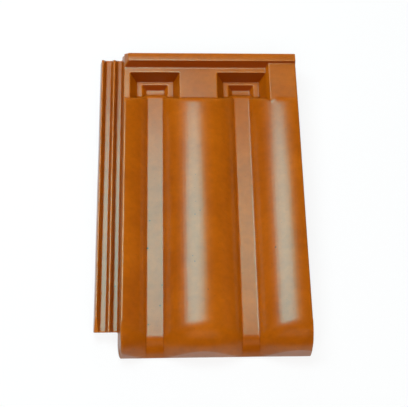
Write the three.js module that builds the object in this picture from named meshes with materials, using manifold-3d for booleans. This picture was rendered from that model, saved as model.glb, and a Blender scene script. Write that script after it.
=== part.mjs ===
// Interlocking clay roof tile with two flat pans and rounded rolls, pressed in one piece.
// Millimetres. While it is built, X runs across the tile from the outer face of the side lock,
// Y runs up the roof from the nose, and Z is the height above the nose's lower edge.
// At the end the tile is laid on its nose lip and its two hanging nibs and centred on the origin.
import * as THREE from 'three';
import { mergeVertices } from 'three/addons/utils/BufferGeometryUtils.js';
import Module from 'manifold-3d';

// ---- driving dimensions ----

// The whole tile
const tileLength = 336;
const coverWidth = 180;           // width that one tile adds to a laid row
const jointGap = 0.5;             // open joint between the tops of two neighbours

// Pans and rolls
const panWidth = 16.2;
const panLevel = 15;              // top of the pans
const rollHeight = 19;            // crown of a roll above the pans
const coverPastCrown = 13;        // from the last roll's crown to the covering edge
const edgeRadius = 1.8;           // rounded long edges of the body

// Clay left over the hollow underside
const wallThickness = 12;
const sideWallThickness = 9;
const undersideLevel = 3;         // flat underside above the nose's lower edge
const hollowEndDraft = 0.8;       // run of a hollow's end per unit of its height

// Bullnose
const noseRunPan = 17.5;          // how far it reaches back at a pan
const noseRunRoll = 27;           // and at the crown of a roll, where it is a full quarter round
const noseSkipPan = 40;           // degrees of the quarter round left out at a pan's lower edge
const noseLand = 1.5;             // upright edge below the round
const noseStartShare = 0.02;      // of the round, where it leaves that edge
const noseLeftInset = 3;          // the front corners are rounded off by this much in plan
const noseRightInset = 0.9;
const noseCornerRun = 12;         // over this length
const noseEdgeWidth = 15;         // and the inset runs out over this width
const lipWidth = 12;              // flat under the nose

// Side lock on the left, two grooves between three walls
const lockOuterDraft = 2.2;       // run of its outer face
const ribTopWidth = 1.9;
const ribTop = 17.3;
const grooveDepth = 8;
const grooveDraft = 2.1;          // run of each groove wall
const firstGrooveWidth = 6;       // at its floor
const secondGrooveWidth = 4.9;    // at its floor
const bodyWallDraft = 2.8;        // run of the body's side walls above the lock
const wallBendZ = 20;             // they are upright above this level
const lockSetback = 20.4;         // the lock starts this far behind the nose
const lockTailLean = 6;           // its lower edge starts this much further back
const lockHeadSetback = 5;        // it ends this far before the head of the body
const lockHeadLean = 4.5;         // and its ribs end this far before the groove floors
const ribFadeLength = 14;         // the outer rib runs down over this length
const ribFadeDepth = 6;

// Space and tongues under the covering edge, for the neighbour's lock
const lockSidePlay = 0.9;
const lockHeadroom = 1.2;
const lockEndPlay = 2;            // before the lock's end
const recessFlankAngle = 45;      // degrees, on the side of the pans
const recessEndAngle = 69;        // degrees, behind the nose

// Head
const flankAngle = 52;            // degrees, slope of the pressed flanks
const plateauHeight = 13.2;       // central plateau above the pans
const rightPlateauHeight = 17.3;  // right plateau above the pans
const plateauBlend = 7;           // length over which the last roll runs out into it
const headerHeight = 6.1;         // header rib above the central plateau
const headerTopWidth = 9.5;
const headerFall = 0.7;           // its back edge is this much lower than its front edge
const headerCornerRadius = 1.5;   // in plan, at its left end
const headLean = 12;              // the head face leans in by this much above the grooves
const shoulderY = 279.8;          // foot of the slope at which the rolls start
const shoulderAngle = 59;         // degrees
const shoulderRadius = 8;         // round at the uphill end of a roll's crown

// Stepped pockets that drain the head into the pans
const pocketFloorWidth = 19;
const pocketFootY = 289.8;
const stepHeight = 5;             // step above the pocket floor
const stepWidth = 38.4;           // across the pocket at the level of the step
const stepFootY = 297.4;

// Hanging nibs
const nibDrop = 8;                // below the nose's lower edge
const nibWidth = 28;
const nibLength = 12;             // at its foot
const nibFrontY = 286;            // face that bears on the batten
const nibDraft = 3;

// Faces on the curved stretches
const rollFaces = 22;
const noseFaces = 9;
const roundFaces = 5;
const wallPointGap = 0.3;         // least height between two points of a side wall

// ---- derived places ----

const slopeOf = (degrees) => Math.tan(THREE.MathUtils.degToRad(degrees));
const flankSlope = slopeOf(flankAngle);

const grooveFloor = ribTop - grooveDepth;
const firstGrooveX = lockOuterDraft + ribTopWidth + grooveDraft;
const secondGrooveX = firstGrooveX + firstGrooveWidth + 2 * grooveDraft + ribTopWidth;
const bodyFootX = secondGrooveX + secondGrooveWidth;
const bodyX = bodyFootX + bodyWallDraft;
const rightX = bodyX + coverWidth - jointGap;

const panPitch = coverWidth / 2;
const rollHalf = (panPitch - panWidth) / 2;
const rollRadius = (rollHalf ** 2 + rollHeight ** 2) / (2 * rollHeight);
const crownLevel = panLevel + rollHeight;
const rollAxisZ = crownLevel - rollRadius;
const lastRollX = bodyX + coverWidth - coverPastCrown;
const middleRollX = lastRollX - panPitch;
const firstRollX = middleRollX - panPitch;
const panCentres = [firstRollX + panPitch / 2, middleRollX + panPitch / 2];

const plateauLevel = panLevel + plateauHeight;
const rightPlateauLevel = panLevel + rightPlateauHeight;
const headerLevel = plateauLevel + headerHeight;
const stepLevel = panLevel + stepHeight;
const riseX = panCentres[1] + stepWidth / 2 + (rightPlateauLevel - stepLevel) / flankSlope;

const nibCentreY = nibFrontY + nibLength / 2;
const restSlope = nibDrop / nibCentreY;
const lockEndY = tileLength - lockHeadSetback;
const farBelow = -nibDrop - wallThickness;
const farAbove = headerLevel + headerHeight;
const farAway = 2 * tileLength;

// ---- working with solids ----

const wasm = await Module();
wasm.setup();

// Faces that have shrunk to a line, where two rings meet, are left out.
function solidFrom(faces) {
  const loose = new THREE.BufferGeometry().setFromPoints(faces.flat());
  const merged = mergeVertices(loose);
  const corners = Array.from(merged.index.array);
  const whole = faces
    .map((_, i) => corners.slice(3 * i, 3 * i + 3))
    .filter(([a, b, c]) => a !== b && b !== c && c !== a);
  return new wasm.Manifold(new wasm.Mesh({
    numProp: 3,
    vertProperties: new Float32Array(merged.attributes.position.array),
    triVerts: new Uint32Array(whole.flat()),
  }));
}

function geometryFrom(solid) {
  const { vertProperties, triVerts } = solid.getMesh();
  const geometry = new THREE.BufferGeometry();
  geometry.setAttribute('position', new THREE.BufferAttribute(vertProperties, 3));
  geometry.setIndex(new THREE.BufferAttribute(triVerts, 1));
  geometry.computeVertexNormals();
  return geometry;
}

// Skins a row of rings of equal length and closes both ends. Each ring is a list of Vector3.
// The view picks the two coordinates in which a ring reads as a flat outline.
function loft(givenRings, view) {
  const outline = givenRings[0].map(view);
  const anticlockwise = THREE.ShapeUtils.area(outline) > 0;
  const rings = anticlockwise ? givenRings : givenRings.map((ring) => [...ring].reverse());
  const first = rings[0];
  const last = rings[rings.length - 1];
  const faces = [];
  for (let r = 1; r < rings.length; r += 1) {
    const near = rings[r - 1];
    const far = rings[r];
    near.forEach((point, i) => {
      const j = (i + 1) % near.length;
      faces.push([point, far[i], far[j]], [point, far[j], near[j]]);
    });
  }
  for (const [a, b, c] of THREE.ShapeUtils.triangulateShape(first.map(view), [])) {
    faces.push([first[a], first[b], first[c]]);
  }
  for (const [a, b, c] of THREE.ShapeUtils.triangulateShape(last.map(view), [])) {
    faces.push([last[a], last[c], last[b]]);
  }
  const solid = solidFrom(faces);
  return solid.volume() > 0 ? solid : solidFrom(faces.map((face) => [...face].reverse()));
}

const seenFromFront = (p) => new THREE.Vector2(p.x, p.z);
const seenFromAbove = (p) => new THREE.Vector2(p.x, p.y);
const seenFromSide = (p) => new THREE.Vector2(p.y, p.z);

// A section of [x, z] points run up the tile. Each end gives Y for a height, so it may lean.
function runUp(section, startAt, endAt) {
  const ring = (end) => section.map(([x, z]) => new THREE.Vector3(x, end(z), z));
  return loft([ring(startAt), ring(endAt)], seenFromFront);
}

// A section of [y, z] points run right across the tile and past both sides.
function runAcross(section) {
  const ring = (x) => section.map(([y, z]) => new THREE.Vector3(x, y, z));
  return loft([ring(-farAway), ring(farAway)], seenFromSide);
}

// A block whose plan outline of [x, y] points changes with the height.
function taperedBlock(outlineAt, levels) {
  const rings = levels.map((z) => outlineAt(z).map(([x, y]) => new THREE.Vector3(x, y, z)));
  return loft(rings, seenFromAbove);
}

const rectangle = (x0, y0, x1, y1) => [[x0, y0], [x1, y0], [x1, y1], [x0, y1]];

// Points on a circle between two angles in radians.
function arc(centreU, centreV, radius, fromAngle, toAngle) {
  return Array.from({ length: roundFaces + 1 }, (_, i) => {
    const angle = fromAngle + ((toAngle - fromAngle) * i) / roundFaces;
    return [centreU + radius * Math.cos(angle), centreV + radius * Math.sin(angle)];
  });
}

// ---- outline of the rolled body ----

const rollLevel = (x, rollX, radius) => rollAxisZ + Math.sqrt(radius ** 2 - (x - rollX) ** 2);

function rollPoints(rollX, fromX, toX) {
  const faces = Math.ceil((rollFaces * (toX - fromX)) / (2 * rollHalf));
  return Array.from({ length: faces + 1 }, (_, i) => {
    const x = fromX + ((toX - fromX) * i) / faces;
    return [x, rollLevel(x, rollX, rollRadius)];
  });
}

// The long edges are rounds that touch both the side wall and the roll.
const leftRoundX = bodyX + edgeRadius;
const leftRoundZ = rollLevel(leftRoundX, firstRollX, rollRadius - edgeRadius);
const leftRoundEnd = Math.atan2(leftRoundZ - rollAxisZ, leftRoundX - firstRollX);
const rightRoundX = rightX - edgeRadius;
const rightRoundZ = rollLevel(rightRoundX, lastRollX, rollRadius - edgeRadius);
const rightRoundStart = Math.atan2(rightRoundZ - rollAxisZ, rightRoundX - lastRollX);
const leftRound = arc(leftRoundX, leftRoundZ, edgeRadius, Math.PI, leftRoundEnd);
const rightRound = arc(rightRoundX, rightRoundZ, edgeRadius, rightRoundStart, 0);

// The last roll has a point where the right plateau starts behind it.
const topBeforePlateau = rollPoints(lastRollX, riseX, rightRound[0][0]);

const bodyOutline = [
  ...leftRound,
  ...rollPoints(firstRollX, leftRound[leftRound.length - 1][0], firstRollX + rollHalf).slice(1),
  ...rollPoints(middleRollX, middleRollX - rollHalf, middleRollX + rollHalf),
  ...rollPoints(lastRollX, lastRollX - rollHalf, riseX),
  ...topBeforePlateau.slice(1),
  ...rightRound.slice(1),
];

// Both side walls lean the same way below their bend, so that neighbours stay parallel.
function leftWallX(z) {
  const share = (z - grooveFloor) / (wallBendZ - grooveFloor);
  return bodyFootX + bodyWallDraft * THREE.MathUtils.clamp(share, 0, 1);
}

const rightWallX = (z) => leftWallX(z) + coverWidth - jointGap;

// Closes a line of points over the top into a ring with both side walls.
function withSides(top, levelEnd) {
  const left = top[0];
  const right = top[top.length - 1];
  const wallPoint = (above, z) => {
    const x = above.x + leftWallX(z) - leftWallX(above.z);
    const y = levelEnd ? levelEnd(z) : above.y;
    return new THREE.Vector3(x, y, z);
  };
  const bendOf = (above) => Math.min(wallBendZ, above.z - wallPointGap);
  const footOf = (above) => Math.min(grooveFloor, above.z - 2 * wallPointGap);
  return [
    wallPoint(left, farBelow),
    wallPoint(left, footOf(left)),
    wallPoint(left, bendOf(left)),
    ...top,
    wallPoint(right, bendOf(right)),
    wallPoint(right, footOf(right)),
    wallPoint(right, farBelow),
  ];
}

// ---- the rolled body, from the bullnose to the shoulder ----

// One line of points across the bullnose, at a share of its round. Its front corners are
// rounded in plan, and the left one keeps the draft of its wall.
function noseLine(share) {
  return bodyOutline.map(([x, z]) => {
    const noseRun = THREE.MathUtils.mapLinear(z, panLevel, crownLevel, noseRunPan, noseRunRoll);
    const skip = THREE.MathUtils.mapLinear(z, panLevel, crownLevel, noseSkipPan, 0);
    const skipped = THREE.MathUtils.degToRad(skip);
    const angle = THREE.MathUtils.lerp(skipped, Math.PI / 2, share);
    const y = noseRun * (1 - Math.cos(angle) / Math.cos(skipped));
    const rise = (Math.sin(angle) - Math.sin(skipped)) / (1 - Math.sin(skipped));
    const roundedZ = noseLand + (z - noseLand) * rise;
    const toCorner = 1 - Math.sqrt(1 - Math.max(0, 1 - y / noseCornerRun) ** 2);
    const leftShare = Math.max(0, 1 - (x - bodyX) / noseEdgeWidth);
    const rightShare = Math.max(0, 1 - (rightX - x) / noseEdgeWidth);
    const inset = toCorner * (noseLeftInset * leftShare - noseRightInset * rightShare);
    const draft = (leftWallX(roundedZ) - leftWallX(z)) * leftShare;
    return new THREE.Vector3(x + inset + draft, y, roundedZ);
  });
}

const shoulderLine = (z) => shoulderY - (z - panLevel) / slopeOf(shoulderAngle);

// One height of the rolls runs over the round at their uphill end, from its start at share 0
// to the slope at share 1. The round grows with the height. Gives Y and Z.
function shoulderPoint(z, share) {
  const fullAngle = THREE.MathUtils.degToRad(shoulderAngle);
  const radius = (shoulderRadius * (z - panLevel)) / rollHeight;
  const dropAt = (angle) => radius * (1 - Math.cos(angle));
  const centreY = shoulderLine(z - dropAt(fullAngle)) - radius * Math.sin(fullAngle);
  const angle = fullAngle * share;
  return [centreY + radius * Math.sin(angle), z - dropAt(angle)];
}

const shoulderEdge = (share) => bodyOutline.map(
  ([x, z]) => new THREE.Vector3(x, ...shoulderPoint(z, share)),
);

function rolledBody() {
  const rings = [];
  for (let i = 0; i <= noseFaces; i += 1) {
    const share = THREE.MathUtils.lerp(noseStartShare, 1, i / noseFaces);
    rings.push(withSides(noseLine(share)));
  }
  for (let i = 0; i < roundFaces; i += 1) {
    rings.push(withSides(shoulderEdge(i / roundFaces)));
  }
  rings.push(withSides(shoulderEdge(1), shoulderLine));
  return loft(rings, seenFromFront);
}

// ---- the head: plateaus, header rib and stepped pockets ----

const headFace = (z) => tileLength - (headLean * (z - grooveFloor)) / (headerLevel - grooveFloor);
const headerFront = (z) => headFace(headerLevel) - headerTopWidth - (headerLevel - z) / flankSlope;

// Foot of the flank that rises to the right plateau, for a height of its top edge.
const riseFootX = (topZ) => riseX - (topZ - plateauLevel) / flankSlope;

function headBlock() {
  const section = [
    [bodyFootX, farBelow],
    [bodyFootX, grooveFloor],
    [bodyX, wallBendZ],
    [bodyX, plateauLevel],
    [riseFootX(rightPlateauLevel), plateauLevel],
    [riseX, rightPlateauLevel],
    ...arc(rightRoundX, rightPlateauLevel - edgeRadius, edgeRadius, Math.PI / 2, 0),
    [rightX, wallBendZ],
    [rightWallX(grooveFloor), grooveFloor],
    [rightWallX(grooveFloor), farBelow],
  ];
  return runUp(section, (z) => shoulderLine(z) - edgeRadius, headFace);
}

// The last roll runs out into the right plateau, and so does its rounded long edge.
function plateauRunout() {
  const [startY] = shoulderPoint(crownLevel, 0);
  const ring = (share) => {
    const y = startY + plateauBlend * share;
    const blend = 1 - Math.cos((Math.PI / 2) * share);
    const mix = (from, to) => THREE.MathUtils.lerp(from, to, blend);
    const edgeZ = mix(rightRoundZ, rightPlateauLevel - edgeRadius);
    const edge = arc(rightRoundX, edgeZ, edgeRadius, mix(rightRoundStart, Math.PI / 2), 0);
    const top = topBeforePlateau.slice(0, -1).map(([x, z]) => [x, mix(z, rightPlateauLevel)]);
    const section = [[riseFootX(top[0][1]), plateauLevel], ...top, ...edge, [rightX, plateauLevel]];
    return section.map(([x, z]) => new THREE.Vector3(x, y, z));
  };
  const rings = Array.from({ length: roundFaces + 1 }, (_, i) => ring(i / roundFaces));
  return loft(rings, seenFromFront);
}

// Plan outline of the header rib at a height. Above the plateau its left end slopes like its
// front, and below it both ends are in line with the side walls.
function headerOutline(z) {
  const leftX = bodyX + Math.max(0, z - plateauLevel) / flankSlope;
  const frontY = headerFront(z);
  const backY = headFace(z);
  const endX = leftX + headerCornerRadius;
  const front = arc(endX, frontY + headerCornerRadius, headerCornerRadius, -Math.PI / 2, -Math.PI);
  const back = arc(endX, backY - headerCornerRadius, headerCornerRadius, Math.PI, Math.PI / 2);
  return [[rightX, frontY], ...front, ...back, [rightX, backY]];
}

function headerRib() {
  const rib = taperedBlock(headerOutline, [plateauLevel - edgeRadius, plateauLevel, headerLevel]);
  const middleY = headFace(headerLevel) - headerTopWidth / 2;
  const fallSlope = headerFall / (headerTopWidth / 2);
  const aboveBack = runAcross([
    [middleY, headerLevel],
    [middleY + headerTopWidth, headerLevel - fallSlope * headerTopWidth],
    [middleY + headerTopWidth, farAbove],
    [middleY, farAbove],
  ]);
  return rib.subtract(aboveBack);
}

function pocketStage(pocketX, width, footY, lowZ, highZ) {
  const outlineAt = (z) => {
    const halfWidth = width / 2 + (z - lowZ) / flankSlope;
    const backY = footY + (z - lowZ) / flankSlope;
    return rectangle(pocketX - halfWidth, shoulderY - rollRadius, pocketX + halfWidth, backY);
  };
  return taperedBlock(outlineAt, [lowZ, highZ]);
}

function pocket(pocketX) {
  const lower = pocketStage(pocketX, pocketFloorWidth, pocketFootY, panLevel, plateauLevel);
  const upper = pocketStage(pocketX, stepWidth, stepFootY, stepLevel, farAbove);
  return lower.add(upper);
}

function head() {
  const pockets = panCentres.map(pocket);
  const block = pockets.reduce((solid, cut) => solid.subtract(cut), headBlock());
  return block.add(headerRib()).add(plateauRunout());
}

// ---- the side lock on the left ----

function sideLock() {
  const section = [
    [0, farBelow],
    [0, undersideLevel],
    [lockOuterDraft, ribTop],
    [lockOuterDraft + ribTopWidth, ribTop],
    [firstGrooveX, grooveFloor],
    [firstGrooveX + firstGrooveWidth, grooveFloor],
    [firstGrooveX + firstGrooveWidth + grooveDraft, ribTop],
    [secondGrooveX - grooveDraft, ribTop],
    [secondGrooveX, grooveFloor],
    [bodyX, grooveFloor],
    [bodyX, farBelow],
  ];
  const fadeEnd = lockSetback + ribFadeLength;
  const aboveFade = runAcross([
    [fadeEnd, ribTop],
    [lockSetback - ribFadeLength, ribTop - 2 * ribFadeDepth],
    [lockSetback - ribFadeLength, farAbove],
    [fadeEnd, farAbove],
  ]);
  const overOuterRib = runUp(
    [[-bodyX, farBelow], [-bodyX, farAbove], [firstGrooveX, farAbove], [firstGrooveX, farBelow]],
    () => 0,
    () => farAway,
  );
  const tailAt = (z) => lockSetback + (lockTailLean * (ribTop - z)) / ribTop;
  const headAt = (z) => lockEndY - lockHeadLean * Math.max(0, (z - grooveFloor) / grooveDepth);
  const lock = runUp(section, tailAt, headAt);
  return lock.subtract(aboveFade.intersect(overOuterRib));
}

// ---- the underside ----

// Everything under the flat underside, behind the nose lip.
function belowUnderside() {
  return runAcross([
    [lipWidth, 2 * farBelow],
    [lipWidth, undersideLevel],
    [farAway, undersideLevel],
    [farAway, 2 * farBelow],
  ]);
}

// Hollow under a roll, one wall thickness inside it. Under the plateaus it has a lower roof.
function rollHollow(rollX, fromX, toX) {
  const radius = rollRadius - wallThickness;
  const headRoof = plateauLevel - wallThickness;
  const section = (roof) => {
    const top = Array.from({ length: rollFaces + 1 }, (_, i) => {
      const x = fromX + ((toX - fromX) * i) / rollFaces;
      return [x, Math.min(roof, rollLevel(x, rollX, radius))];
    });
    return [[fromX, farBelow], ...top, [toX, farBelow]];
  };
  const startAt = (z) => lipWidth + edgeRadius + hollowEndDraft * (z - undersideLevel);
  const endAt = (z) => shoulderLine(z + wallThickness) - wallThickness;
  const headEndAt = (z) => stepFootY + wallThickness - hollowEndDraft * (z - undersideLevel);
  return runUp(section(crownLevel), startAt, endAt).add(runUp(section(headRoof), startAt, headEndAt));
}

// Space under the covering edge that takes the neighbour's side lock, around two tongues.
function lockRecess() {
  const roof = ribTop + lockHeadroom;
  const tongueFoot = grooveFloor + lockHeadroom;
  const spread = (z) => (grooveDraft * (z - grooveFloor)) / grooveDepth - lockSidePlay;
  const tongue = (grooveX, width) => {
    const left = coverWidth + grooveX;
    const right = left + width;
    return [
      [left - spread(roof), roof],
      [left - spread(tongueFoot), tongueFoot],
      [right + spread(tongueFoot), tongueFoot],
      [right + spread(roof), roof],
    ];
  };
  const outerX = coverWidth - 2 * lockSidePlay;
  const section = [
    [outerX - (roof - farBelow) / slopeOf(recessFlankAngle), farBelow],
    [outerX, roof],
    ...tongue(firstGrooveX, firstGrooveWidth),
    ...tongue(secondGrooveX, secondGrooveWidth).slice(0, 2),
    [rightX + wallThickness, tongueFoot],
    [rightX + wallThickness, farBelow],
  ];
  const startAt = (z) => lockSetback - lockEndPlay - (roof - z) / slopeOf(recessEndAngle);
  return runUp(section, startAt, () => farAway);
}

function nib(nibX) {
  const outlineAt = (z) => {
    const grow = (nibDraft * (z + nibDrop)) / (undersideLevel + nibDrop);
    const halfWidth = nibWidth / 2 + grow;
    return rectangle(nibX - halfWidth, nibFrontY, nibX + halfWidth, nibFrontY + nibLength + grow);
  };
  return taperedBlock(outlineAt, [-nibDrop - edgeRadius, undersideLevel + edgeRadius]);
}

// Everything below the level on which the lip and the nibs stand, and behind the head.
function ground() {
  return runAcross([
    [-farAway, restSlope * farAway],
    [farAway, -restSlope * farAway],
    [farAway, -farAway],
    [-farAway, -farAway],
  ]);
}

function behindHead() {
  return runAcross([
    [tileLength, 2 * farBelow],
    [tileLength, farAbove],
    [farAway, farAbove],
    [farAway, 2 * farBelow],
  ]);
}

// ---- the one solid, laid down as it rests ----

function tileSolid() {
  const hollowRadius = rollRadius - wallThickness;
  const hollowHalf = Math.sqrt(hollowRadius ** 2 - (undersideLevel - rollAxisZ) ** 2);
  const cuts = [
    belowUnderside(),
    behindHead(),
    rollHollow(firstRollX, bodyX + sideWallThickness, firstRollX + hollowHalf),
    rollHollow(middleRollX, middleRollX - hollowHalf, middleRollX + hollowHalf),
    lockRecess(),
  ];
  const body = rolledBody().add(head()).add(sideLock());
  const hollowed = cuts.reduce((solid, cut) => solid.subtract(cut), body);
  return panCentres.reduce((solid, nibX) => solid.add(nib(nibX)), hollowed).subtract(ground());
}

const glazedClay = new THREE.MeshStandardMaterial({
  color: '#af5b02',
  roughness: 0.35,
  metalness: 0,
});

const roofTile = new THREE.Mesh(geometryFrom(tileSolid()), glazedClay);
roofTile.name = 'roof_tile';
roofTile.rotation.x = Math.atan(restSlope);

const tile = new THREE.Group();
tile.add(roofTile);
const bounds = new THREE.Box3().setFromObject(tile, true);
const centre = bounds.getCenter(new THREE.Vector3());
roofTile.position.set(-centre.x, -centre.y, -bounds.min.z);

export default tile;
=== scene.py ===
import math

import bmesh
import bpy
import numpy as np
from mathutils import Matrix, Vector, noise
from mathutils.bvhtree import BVHTree


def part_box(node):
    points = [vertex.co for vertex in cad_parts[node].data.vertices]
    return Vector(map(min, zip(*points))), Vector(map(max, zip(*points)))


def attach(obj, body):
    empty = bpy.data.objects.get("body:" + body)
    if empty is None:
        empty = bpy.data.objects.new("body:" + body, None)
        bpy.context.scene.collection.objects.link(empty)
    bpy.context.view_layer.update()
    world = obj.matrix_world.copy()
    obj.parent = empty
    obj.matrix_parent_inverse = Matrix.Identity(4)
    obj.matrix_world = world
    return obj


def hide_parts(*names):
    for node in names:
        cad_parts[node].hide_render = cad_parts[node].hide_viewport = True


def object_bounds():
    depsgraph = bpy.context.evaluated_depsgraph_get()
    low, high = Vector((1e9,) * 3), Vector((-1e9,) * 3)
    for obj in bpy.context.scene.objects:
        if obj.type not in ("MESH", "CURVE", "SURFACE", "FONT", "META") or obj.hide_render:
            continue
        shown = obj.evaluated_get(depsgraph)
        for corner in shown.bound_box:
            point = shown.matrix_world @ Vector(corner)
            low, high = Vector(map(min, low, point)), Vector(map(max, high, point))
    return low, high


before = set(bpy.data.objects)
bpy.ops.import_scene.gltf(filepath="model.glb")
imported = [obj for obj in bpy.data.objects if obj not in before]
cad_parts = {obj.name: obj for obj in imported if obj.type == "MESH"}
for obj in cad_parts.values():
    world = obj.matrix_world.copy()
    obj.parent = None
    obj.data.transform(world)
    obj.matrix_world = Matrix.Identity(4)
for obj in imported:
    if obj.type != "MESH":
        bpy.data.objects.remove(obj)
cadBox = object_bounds()
mm = 0.001


def toLinear(hexColour):
    channels = [int(hexColour[i:i + 2], 16) / 255 for i in (1, 3, 5)]
    linear = [c / 12.92 if c <= 0.04045 else ((c + 0.055) / 1.055) ** 2.4 for c in channels]
    return (*linear, 1.0)


def addNode(tree, kind, settings=None, **links):
    # settings go on the node or on its sockets; a link is named for its socket, or toN for socket N
    node = tree.nodes.new(kind)
    for name, value in (settings or {}).items():
        if isinstance(name, int) or name in node.inputs:
            node.inputs[name].default_value = value
        else:
            setattr(node, name, value)
    for name, source in links.items():
        socket = int(name[2:]) if name[:2] == "to" and name[2:].isdigit() else name.replace("_", " ")
        tree.links.new(source, node.inputs[socket])
    return node


def rise(values, start, end):
    # 0 up to the start, 1 from the end on
    return np.clip((values - start) / (end - start), 0, 1)


tileLie = {
    "nibDrop": 8,        # mm, feet of the nibs below the nose's lower edge
    "nibPlace": 292,     # mm, from the nose
    "noseIn": 0.05,      # mm, nose in front of the origin of the tile's axes
}

# the tile stands on its nose lip and its nibs; its own axes start at the lock's outer edge and the nose
tileSlope = math.atan(tileLie["nibDrop"] / tileLie["nibPlace"])
tileOrigin = Vector((cadBox[0][0], cadBox[0][1] + tileLie["noseIn"] * mm, 0))
tileAxes = Matrix.Translation(tileOrigin) @ Matrix.Rotation(tileSlope, 4, "X")


cameraSetup = {
    "place": (67.49, -360.68, 1004.79),   # mm in the tile's axes
    "azimuth": 8.68,                      # degrees, like the next two
    "elevation": 61.73,
    "roll": 7.454,
    "focal": 1124,                        # pixels, like the next two
    "middle": (245, 195),
    "picture": (408, 407),
    "sensor": 36,                         # mm
    "clip": (0.05, 100),                  # metres
}


def makeCamera(setup):
    azimuth, elevation, roll = (math.radians(setup[k]) for k in ("azimuth", "elevation", "roll"))
    ahead = Vector((math.sin(azimuth), math.cos(azimuth), 0))
    forward = ahead * math.cos(elevation) - Vector((0, 0, math.sin(elevation)))
    level = Vector((ahead.y, -ahead.x, 0))
    upright = level.cross(forward)
    right = math.cos(roll) * level + math.sin(roll) * upright
    up = -math.sin(roll) * level + math.cos(roll) * upright
    turn = Matrix((right, up, -forward)).transposed().to_4x4()
    width, height = setup["picture"]
    data = bpy.data.cameras.new("camera")
    data.sensor_fit = "HORIZONTAL"
    data.sensor_width = setup["sensor"]
    data.lens = setup["sensor"] * setup["focal"] / width
    data.shift_x = (width / 2 - setup["middle"][0]) / width
    data.shift_y = (setup["middle"][1] - height / 2) / width
    data.clip_start, data.clip_end = setup["clip"]
    camera = bpy.data.objects.new("camera", data)
    bpy.context.scene.collection.objects.link(camera)
    camera.matrix_world = tileAxes @ Matrix.Translation(Vector(setup["place"]) * mm) @ turn
    bpy.context.scene.camera = camera


makeCamera(cameraSetup)
print("camera ready")


tileLook = {
    "grain": 0.6,              # mm, size of the first even mesh
    "weld": 0.01,              # mm, points nearer than this are one
    "softening": 2,            # passes that round the pressed edges
    "softShare": 0.5,          # how far a point goes toward its neighbours in each
    "faces": 190000,
    "sag": 0.16,               # mm, slow unevenness from drying and firing
    "sagLength": 60,           # mm
    "ripple": 0.035,           # mm, unevenness of the glaze coat
    "rippleLength": 9,         # mm
    "rippleSeed": (7, 3, 5),
    "headStart": 276,          # mm from the nose, where the head begins
    "creaseDepth": 0.10,       # 1/mm, hollow bend that counts as a full crease
    "spread": 3,               # passes that spread creases and crests
    "spreadShare": 0.6,        # how much of its neighbours a point takes on in each
    "steep": (1 / 3, 2 / 3),   # lean toward the nose at which the painted shade on the head starts and is full
    "downward": (0.2, 0.6),    # lean toward the ground at which bare clay starts and is full
    "upward": 0.1,             # least lean toward the sky of a face that the spray reaches for certain
    "shelterGap": 1.0,         # mm off the surface, where the look up for shelter starts
}

pocketLook = {                 # in mm
    "middles": (58, 148),      # across the tile
    "halfWidth": 27,           # with the walls
    "wallTop": 27.9,           # above the nose's lower edge, like the next two
    "stepLevel": 20,
    "floorLevel": 15,
    "floorSpare": 2,           # points down to this far below the floor go along
    "floorPlay": 1.2,          # share of the step's height down to which a point counts as low
    "upward": 0.05,            # least lean toward the sky of a face that goes along
    "sink": 5,                 # brings the step level with the pans
    "slip": 3,                 # toward the head, at the full depth
    "shoulderFoot": 279.8,     # from the nose, foot of the slope at which the rolls start
    "shoulderAngle": 59,       # degrees
    "shoulderBlend": 1.5,      # the pocket sets in over this length
    "headEnd": 304.5,
    "sill": 2.8,               # flat left between that foot and the ramp out of the pocket
    "ramp": 4.7,               # length of the ramp
}

noseLook = {                   # in mm
    "firstCrown": 13,
    "pitch": 90,
    "rollHalf": 36.9,
    "rollRadius": 45.3,
    "rollHeight": 19,
    "panLevel": 15,
    "panRun": 17.5,            # how far back the nose's round reaches at a pan
    "crownRun": 27,            # and at the crown of a roll
    "panSkip": 40,             # degrees of the quarter round left out at a pan
    "land": 1.5,               # upright edge below it
    "landBlend": 4,            # the fuller round sets in over this height above it
    "bodyLeft": 26,
    "leftInset": 3,            # the left corner is rounded off by this much in plan
    "cornerRun": 12,           # over this length
    "cornerWidth": 15,         # and this width
    "fall": 0.48,              # share of a crown's height that the round comes down, the rest is upright
    "bow": 2.5,                # 2 bends evenly, more stays flat for longer
    "edge": 14,                # sharpness of the edge below the round
    "skin": 0.04,              # points within this share of the round's size lie on it
    "upward": -0.1,            # least lean toward the sky of a face that belongs to it
    "halvings": 24,
}


def applyModifiers(piece):
    evaluated = piece.evaluated_get(bpy.context.evaluated_depsgraph_get())
    mesh = bpy.data.meshes.new_from_object(evaluated)
    piece.modifiers.clear()
    piece.data = mesh


def makeTile(look):
    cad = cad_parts["roof_tile"]
    piece = bpy.data.objects.new("glazed_tile", cad.data.copy())
    bpy.context.scene.collection.objects.link(piece)
    work = bmesh.new()
    work.from_mesh(piece.data)
    bmesh.ops.remove_doubles(work, verts=work.verts, dist=look["weld"] * mm)
    work.to_mesh(piece.data)
    work.free()
    remesh = piece.modifiers.new("grain", "REMESH")
    remesh.mode = "VOXEL"
    remesh.voxel_size = look["grain"] * mm
    applyModifiers(piece)
    print("even mesh", len(piece.data.polygons))
    sinkPockets(piece, pocketLook)
    roundNose(piece, noseLook)
    soften = piece.modifiers.new("soften", "SMOOTH")
    soften.factor = look["softShare"]
    soften.iterations = look["softening"]
    thin = piece.modifiers.new("thin", "DECIMATE")
    thin.ratio = look["faces"] / (2 * len(piece.data.polygons))
    applyModifiers(piece)
    print("thinned", len(piece.data.polygons))
    return piece


def readPoints(mesh, name):
    values = np.empty(len(mesh.vertices) * 3)
    mesh.vertices.foreach_get(name, values)
    return values.reshape(-1, 3)


def tilePoints(mesh):
    # across the tile, up it and above the nose's lower edge, in mm
    turn = np.array(tileAxes.inverted())
    return (readPoints(mesh, "co") @ turn[:3, :3].T + turn[:3, 3]).T / mm


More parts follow.
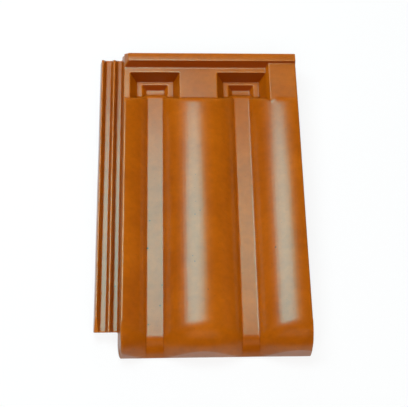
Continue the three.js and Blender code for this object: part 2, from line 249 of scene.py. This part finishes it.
def moveTilePoints(mesh, x, y, z):
    turn = np.array(tileAxes)
    points = np.stack((x, y, z), axis=1) * mm @ turn[:3, :3].T + turn[:3, 3]
    mesh.vertices.foreach_set("co", points.ravel())
    mesh.update()


def sinkPockets(piece, look):
    # the pockets go down below the pans, with a short ramp up to each pan
    mesh = piece.data
    x, y, z = tilePoints(mesh)
    depth = look["stepLevel"] - look["floorLevel"]
    shoulder = (z - look["floorLevel"]) / math.tan(math.radians(look["shoulderAngle"]))
    ahead = y - look["shoulderFoot"] + shoulder
    upward = readPoints(mesh, "normal")[:, 2] > look["upward"]
    inside = upward & (y < look["headEnd"]) & (z > look["floorLevel"] - look["floorSpare"])
    inside &= np.min([abs(x - middle) for middle in look["middles"]], axis=0) < look["halfWidth"]
    share = inside * rise(ahead, 0, look["shoulderBlend"]) * rise(z, look["wallTop"], look["stepLevel"])
    slip = look["slip"] * share
    low = np.clip((look["stepLevel"] - z) / depth, 0, look["floorPlay"])
    ramp = rise(ahead + slip, look["sill"], look["sill"] + look["ramp"])
    sink = share * (look["sink"] - depth * low * (1 - ramp))
    moveTilePoints(mesh, x, y + slip, z - sink)


def roundNose(piece, look):
    # the nose's narrow flat faces become one curve, which is fuller on the rolls
    mesh = piece.data
    x, y, z = tilePoints(mesh)
    corner = look["leftInset"] * (1 - np.sqrt(1 - rise(y, look["cornerRun"], 0) ** 2))
    corner *= rise(x, look["bodyLeft"] + look["cornerWidth"], look["bodyLeft"])
    away = (x - corner - look["firstCrown"] + look["pitch"] / 2) % look["pitch"] - look["pitch"] / 2
    away = np.minimum(abs(away), look["rollHalf"])
    drop = look["rollRadius"] - np.sqrt(look["rollRadius"] ** 2 - away ** 2)
    share = np.clip(1 - drop / look["rollHeight"], 0, 1)    # 0 at a pan, 1 at a crown
    run = look["panRun"] + (look["crownRun"] - look["panRun"]) * share
    height = look["panLevel"] + look["rollHeight"] * share - look["land"]
    skip = np.radians(look["panSkip"]) * (1 - share)
    ahead = (run - y) / run * np.cos(skip)
    up = (z - look["land"]) / height * (1 - np.sin(skip)) + np.sin(skip)
    tiny = 0.001
    reach = np.maximum(np.hypot(ahead, up), tiny)
    upward = readPoints(mesh, "normal")[:, 2] > look["upward"]
    outer = upward & (ahead > 0) & (z > look["land"]) & (abs(reach - 1) < look["skin"])
    ahead, up = np.maximum(ahead / reach, tiny), np.maximum(up / reach, 0)
    near, far = np.zeros_like(reach), 1 / ahead
    for _ in range(look["halvings"]):    # finds where the fuller round is met along the same line
        middle = (near + far) / 2
        out = middle * ahead
        level = middle * up / (1 - look["fall"] * out ** look["bow"])
        over = out ** look["edge"] + level ** look["edge"] > 1
        near, far = np.where(over, near, middle), np.where(over, middle, far)
    fuller = 1 + (far - 1) * share * rise(z, look["land"], look["land"] + look["landBlend"])
    newY = np.maximum(run * (1 - ahead * fuller / np.cos(skip)), 0)
    newZ = look["land"] + height * (up * fuller - np.sin(skip)) / (1 - np.sin(skip))
    part = outer * np.clip(x - look["bodyLeft"], 0, 1)
    moveTilePoints(mesh, x, y + (newY - y) * part, z + (newZ - z) * part)


def addUnevenness(piece, look):
    # mostly inward, and never past the tile's own box
    mesh = piece.data
    points = readPoints(mesh, "co")
    offsets = np.empty(len(points))
    for i, point in enumerate(points):
        slow = noise.noise(Vector(point / (look["sagLength"] * mm)))
        quick = noise.noise(Vector(point / (look["rippleLength"] * mm)) + Vector(look["rippleSeed"]))
        offsets[i] = (look["sag"] * (slow - 0.5) + look["ripple"] * (quick - 0.5)) * mm
    moved = points + readPoints(mesh, "normal") * offsets[:, None]
    low, high = (np.array(v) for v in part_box("roof_tile"))
    mesh.vertices.foreach_set("co", np.clip(moved, low, high).ravel())
    mesh.update()


def addCoatAndShade(piece, look):
    # red: thicker glaze and painted shade in creases, green: thin glaze and a painted highlight on crests,
    # blue: bare clay underneath,
    # alpha: painted shade on the steep faces of the head that look toward the nose
    mesh = piece.data
    points, normals = readPoints(mesh, "co"), readPoints(mesh, "normal")
    edges = np.empty(len(mesh.edges) * 2, dtype=int)
    mesh.edges.foreach_get("vertices", edges)
    a, b = edges.reshape(-1, 2).T
    count = np.bincount(edges, minlength=len(points))
    step = points[b] - points[a]
    length = np.maximum((step ** 2).sum(1), 1e-12)
    # turn of the surface along the edges that meet in a point: more than 0 in a hollow
    bend = np.bincount(a, (normals[a] * step).sum(1) / length, len(points))
    bend -= np.bincount(b, (normals[b] * step).sum(1) / length, len(points))
    bend *= mm / count
    for _ in range(look["spread"]):
        total = np.bincount(a, bend[b], len(points)) + np.bincount(b, bend[a], len(points))
        bend = (1 - look["spreadShare"]) * bend + look["spreadShare"] * total / count
    headward = (points[:, 1] - cadBox[0][1]) / mm
    coatAndShade = np.empty((len(points), 4))
    # red: darker in hollows, for thicker glaze and painted shade there
    coatAndShade[:, 0] = np.clip(bend / look["creaseDepth"], 0, 1)
    # green: paler on crests, for thin glaze and a painted highlight there
    coatAndShade[:, 1] = np.clip(-bend / look["creaseDepth"], 0, 1)
    coatAndShade[:, 2] = rise(-normals[:, 2], *look["downward"])
    upward = normals[:, 2] > look["upward"]
    above = BVHTree.FromObject(piece, bpy.context.evaluated_depsgraph_get())
    for index in np.flatnonzero(~upward):    # glaze is sprayed from above, and the tile shelters its underside
        start = Vector(points[index] + look["shelterGap"] * mm * normals[index])
        if above.ray_cast(start, (0, 0, 1))[0] is not None:
            coatAndShade[index, 2] = 1
    # alpha: painted shade on the steep faces of the head that look toward the nose
    coatAndShade[:, 3] = rise(-normals[:, 1], *look["steep"]) * (headward > look["headStart"]) * upward
    attribute = mesh.attributes.new("coatAndShade", "FLOAT_COLOR", "POINT")
    attribute.data.foreach_set("color", coatAndShade.ravel())


tile = makeTile(tileLook)
addUnevenness(tile, tileLook)
addCoatAndShade(tile, tileLook)
for polygon in tile.data.polygons:
    polygon.use_smooth = True
print("tile ready")


glaze = {
    "name": "glazed_terracotta",
    "colours": (("#a64f00", 0.3), ("#b15700", 0.5), ("#bb5e02", 0.7)),   # with their places in the clouds
    "cloudSize": 45,           # mm
    "mottleSize": 6,           # mm
    "mottle": 0.10,            # share by which the mottle darkens and lightens
    "paintedHeadShade": "#802d02",     # painted shade on the steep faces of the head that look toward the nose
    "paintedHeadShadeShare": 0.85,
    # thicker glaze and painted shade in the hollows
    "creaseGlazeAndShade": "#8a3d00",
    "creaseGlazeAndShadeShare": 0.6,
    "crestGlazeAndHighlight": "#c77a2a",        # pale clay that shows through where the glaze is thin, and a painted highlight along the crests
    "crestGlazeAndHighlightShare": 0.25,
    "bareClay": "#b5683f",
    "roughness": 0.285,
    "bareRoughness": 0.85,
    "ior": 1.5,
    "gloss": (0.06, 0.97, 0.92, 1),   # tint of the reflections, cool over the amber
    "grainSize": 1.1,          # mm, orange-peel texture of the coat
    "grainHeight": 0.02,       # mm
    "poreSize": 5,             # mm between pores
    "pores": 0.06,             # radius of a pore as a share of that
    "poreColour": "#4a2408",
}

# pits in the glaze: place across and up the tile and radius, in mm in the tile's axes
pits = (
    (98, 178, 0.5), (98, 148, 0.5), (102, 138, 0.8), (97, 134, 0.8), (94, 90, 0.7),
    (96, 84, 0.8), (108, 55, 0.7), (53, 137, 1.0), (51, 107, 1.3), (65, 68, 0.9),
    (63, 47, 1.0), (52, 28, 0.9), (20, 70, 1.0), (174, 100, 1.0),
)


def glazedTerracotta(look):
    # pressed terracotta sprayed with a transparent amber glaze: an even honey colour with a soft wide gloss
    material = bpy.data.materials.new(look["name"])
    material.use_nodes = True
    tree = material.node_tree
    tree.nodes.clear()
    place = addNode(tree, "ShaderNodeTexCoord").outputs["Object"]
    coatAndShade = addNode(tree, "ShaderNodeAttribute", {"attribute_name": "coatAndShade"})
    coatAndShadeParts = addNode(tree, "ShaderNodeSeparateColor", Color=coatAndShade.outputs["Color"])

    # slow clouds of the glaze and a finer mottle in it
    clouds = addNode(
        tree, "ShaderNodeTexNoise",
        {"Scale": 1 / (look["cloudSize"] * mm), "Detail": 3.0, "Roughness": 0.6}, Vector=place,
    )
    ramp = addNode(tree, "ShaderNodeValToRGB", Fac=clouds.outputs["Fac"])
    stops = ramp.color_ramp.elements
    while len(stops) < len(look["colours"]):
        stops.new(0.5)
    for stop, (colour, at) in zip(stops, look["colours"]):
        stop.position, stop.color = at, toLinear(colour)
    mottle = addNode(
        tree, "ShaderNodeTexNoise",
        {"Scale": 1 / (look["mottleSize"] * mm), "Detail": 5.0, "Roughness": 0.65}, Vector=place,
    )
    shade = addNode(
        tree, "ShaderNodeMapRange",
        {"From Min": 0.3, "From Max": 0.7, "To Min": 1 - look["mottle"], "To Max": 1 + look["mottle"]},
        Value=mottle.outputs["Fac"],
    )
    colour = addNode(
        tree, "ShaderNodeVectorMath", {"operation": "SCALE"},
        Vector=ramp.outputs["Color"], Scale=shade.outputs[0],
    ).outputs[0]

    # pores all over and a few larger pits
    cells = addNode(tree, "ShaderNodeTexVoronoi", {"Scale": 1 / (look["poreSize"] * mm)}, Vector=place)
    hole = addNode(
        tree, "ShaderNodeMapRange",
        {"From Min": 0.6 * look["pores"], "From Max": look["pores"], "To Min": 1.0, "To Max": 0.0},
        Value=cells.outputs["Distance"],
    ).outputs[0]
    flat = addNode(tree, "ShaderNodeVectorMath", {"operation": "MULTIPLY", 1: (1, 1, 0)}, to0=place)
    for x, y, radius in pits:
        centre = tileAxes @ (Vector((x, y, 0)) * mm)
        away = addNode(
            tree, "ShaderNodeVectorMath", {"operation": "DISTANCE", 1: (centre.x, centre.y, 0)},
            to0=flat.outputs[0],
        )
        pit = addNode(
            tree, "ShaderNodeMapRange",
            {"From Min": 0.5 * radius * mm, "From Max": radius * mm, "To Min": 1.0, "To Max": 0.0},
            Value=away.outputs["Value"],
        )
        either = addNode(tree, "ShaderNodeMath", {"operation": "MAXIMUM"}, to0=hole, to1=pit.outputs[0])
        hole = either.outputs[0]

    # painted shade with thicker glaze in the creases, painted shade on the steep faces of the head,
    # thin glaze and a painted highlight on the crests, dark clay in the holes and bare clay underneath
    for layer, share, source in (
        ("creaseGlazeAndShade", look["creaseGlazeAndShadeShare"], coatAndShadeParts.outputs["Red"]),
        ("crestGlazeAndHighlight", look["crestGlazeAndHighlightShare"], coatAndShadeParts.outputs["Green"]),
        ("paintedHeadShade", look["paintedHeadShadeShare"], coatAndShade.outputs["Alpha"]),
        ("poreColour", 1.0, hole),
        ("bareClay", 1.0, coatAndShadeParts.outputs["Blue"]),
    ):
        amount = addNode(tree, "ShaderNodeMath", {"operation": "MULTIPLY", 1: share}, to0=source)
        colour = addNode(
            tree, "ShaderNodeMix", {"data_type": "RGBA", 7: toLinear(look[layer])},
            to0=amount.outputs[0], to6=colour,
        ).outputs[2]
    roughness = addNode(
        tree, "ShaderNodeMapRange", {"To Min": look["roughness"], "To Max": look["bareRoughness"]},
        Value=coatAndShadeParts.outputs["Blue"],
    )

    grain = addNode(
        tree, "ShaderNodeTexNoise", {"Scale": 1 / (look["grainSize"] * mm), "Detail": 2.0}, Vector=place,
    )
    height = addNode(tree, "ShaderNodeMath", {"operation": "SUBTRACT"}, to0=grain.outputs["Fac"], to1=hole)
    bump = addNode(
        tree, "ShaderNodeBump", {"Strength": 1.0, "Distance": look["grainHeight"] * mm},
        Height=height.outputs[0],
    )
    shader = addNode(
        tree, "ShaderNodeBsdfPrincipled", {"IOR": look["ior"], "Specular Tint": look["gloss"]},
        Base_Color=colour, Roughness=roughness.outputs[0], Normal=bump.outputs[0],
    )
    addNode(tree, "ShaderNodeOutputMaterial", Surface=shader.outputs["BSDF"])
    return material


tile.data.materials.clear()
tile.data.materials.append(glazedTerracotta(glaze))
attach(tile, "root")
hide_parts("roof_tile")
print("glaze ready")


studio = {
    "floorSize": 60.0,            # metres
    "floorColour": "#fafafa",
    "bounceColour": "#a0a0a0",    # the same card in the soft light that it throws on the tile
    "floorGlow": 0.85,            # share of plain white where it is seen or mirrored
    "worldStrength": 0.02,
}

lamps = {    # places and sizes in mm; a lamp lights the tile, shows in its gloss, or both
    "window": {    # broad soft light, which gives the long haze on the rolls and the first pan
        "shape": "ELLIPSE", "middle": (-340, 400, 1030), "aim": (-340, 400, 0), "size": (920, 660),
        "radiance": 7.0, "colour": "#e6f8ff", "lights": True, "inGloss": True,
    },
    "glint": {    # the same window once more, for the gloss alone
        "shape": "ELLIPSE", "middle": (-340, 400, 1031), "aim": (-340, 400, 0), "size": (920, 660),
        "radiance": 3.6, "colour": "#e6faff", "lights": False, "inGloss": True,
    },
    "curtain": {    # warm strip beside it, which the second pan mirrors
        "shape": "RECTANGLE", "middle": (145, 385, 1030), "aim": (145, 385, 0), "size": (150, 400),
        "radiance": 3.4, "colour": "#f0f6b8", "lights": True, "inGloss": True,
    },
    "front": {
        "shape": "RECTANGLE", "middle": (0, -850, 950), "aim": (0, 0, 20), "size": (1400, 700),
        "radiance": 3.3, "colour": "#ffffff", "lights": True, "inGloss": False,
    },
    "back": {
        "shape": "RECTANGLE", "middle": (0, 1800, 500), "aim": (0, 0, 20), "size": (1400, 800),
        "radiance": 3.4, "colour": "#ffffff", "lights": True, "inGloss": False,
    },
    "side": {
        "shape": "RECTANGLE", "middle": (1400, 350, 750), "aim": (0, 0, 20), "size": (700, 700),
        "radiance": 0.6, "colour": "#ffffff", "lights": True, "inGloss": False,
    },
}


def makeFloor(setup):
    half = setup["floorSize"] / 2
    mesh = bpy.data.meshes.new("floor")
    corners = [(-half, -half, 0), (half, -half, 0), (half, half, 0), (-half, half, 0)]
    mesh.from_pydata(corners, [], [(0, 1, 2, 3)])
    floor = bpy.data.objects.new("floor", mesh)
    bpy.context.scene.collection.objects.link(floor)
    # matt white card; part of it is plain white to the camera and in gloss, so the shadow stays faint
    material = bpy.data.materials.new("white_card")
    material.use_nodes = True
    tree = material.node_tree
    tree.nodes.clear()
    ray = addNode(tree, "ShaderNodeLightPath")
    seen = ray.outputs["Is Camera Ray"]
    for kind in ("Is Glossy Ray", "Is Transmission Ray"):
        either = addNode(tree, "ShaderNodeMath", {"operation": "MAXIMUM"}, to0=seen, to1=ray.outputs[kind])
        seen = either.outputs[0]
    tone = addNode(
        tree, "ShaderNodeMix",
        {"data_type": "RGBA", 6: toLinear(setup["bounceColour"]), 7: toLinear(setup["floorColour"])},
        to0=seen,
    )
    card = addNode(tree, "ShaderNodeBsdfDiffuse", Color=tone.outputs[2])
    glow = addNode(tree, "ShaderNodeEmission", {"Strength": 1.0})
    share = addNode(tree, "ShaderNodeMath", {"operation": "MULTIPLY", 1: setup["floorGlow"]}, to0=seen)
    mixed = addNode(tree, "ShaderNodeMixShader", Fac=share.outputs[0], to1=card.outputs[0], to2=glow.outputs[0])
    addNode(tree, "ShaderNodeOutputMaterial", Surface=mixed.outputs[0])
    mesh.materials.append(material)


def makeLamp(name, setup):
    data = bpy.data.lights.new(name, "AREA")
    data.shape = setup["shape"]
    data.size, data.size_y = (side * mm for side in setup["size"])
    fill = math.pi / 4 if setup["shape"] == "ELLIPSE" else 1
    data.energy = setup["radiance"] * math.pi * data.size * data.size_y * fill   # watts that give this radiance
    data.color = toLinear(setup["colour"])[:3]
    lamp = bpy.data.objects.new(name, data)
    bpy.context.scene.collection.objects.link(lamp)
    lamp.location = Vector(setup["middle"]) * mm
    lamp.rotation_mode = "QUATERNION"
    lamp.rotation_quaternion = (Vector(setup["aim"]) - Vector(setup["middle"])).to_track_quat("-Z", "Y")
    lamp.visible_diffuse = setup["lights"]
    lamp.visible_glossy = setup["inGloss"]


makeFloor(studio)
for lampName, lampSetup in lamps.items():
    makeLamp(lampName, lampSetup)
world = bpy.data.worlds.new("world")
bpy.context.scene.world = world
world.use_nodes = True
background = world.node_tree.nodes["Background"]
background.inputs["Color"].default_value = (1, 1, 1, 1)
background.inputs["Strength"].default_value = studio["worldStrength"]
bpy.context.scene.view_settings.view_transform = "Standard"
print("studio ready")
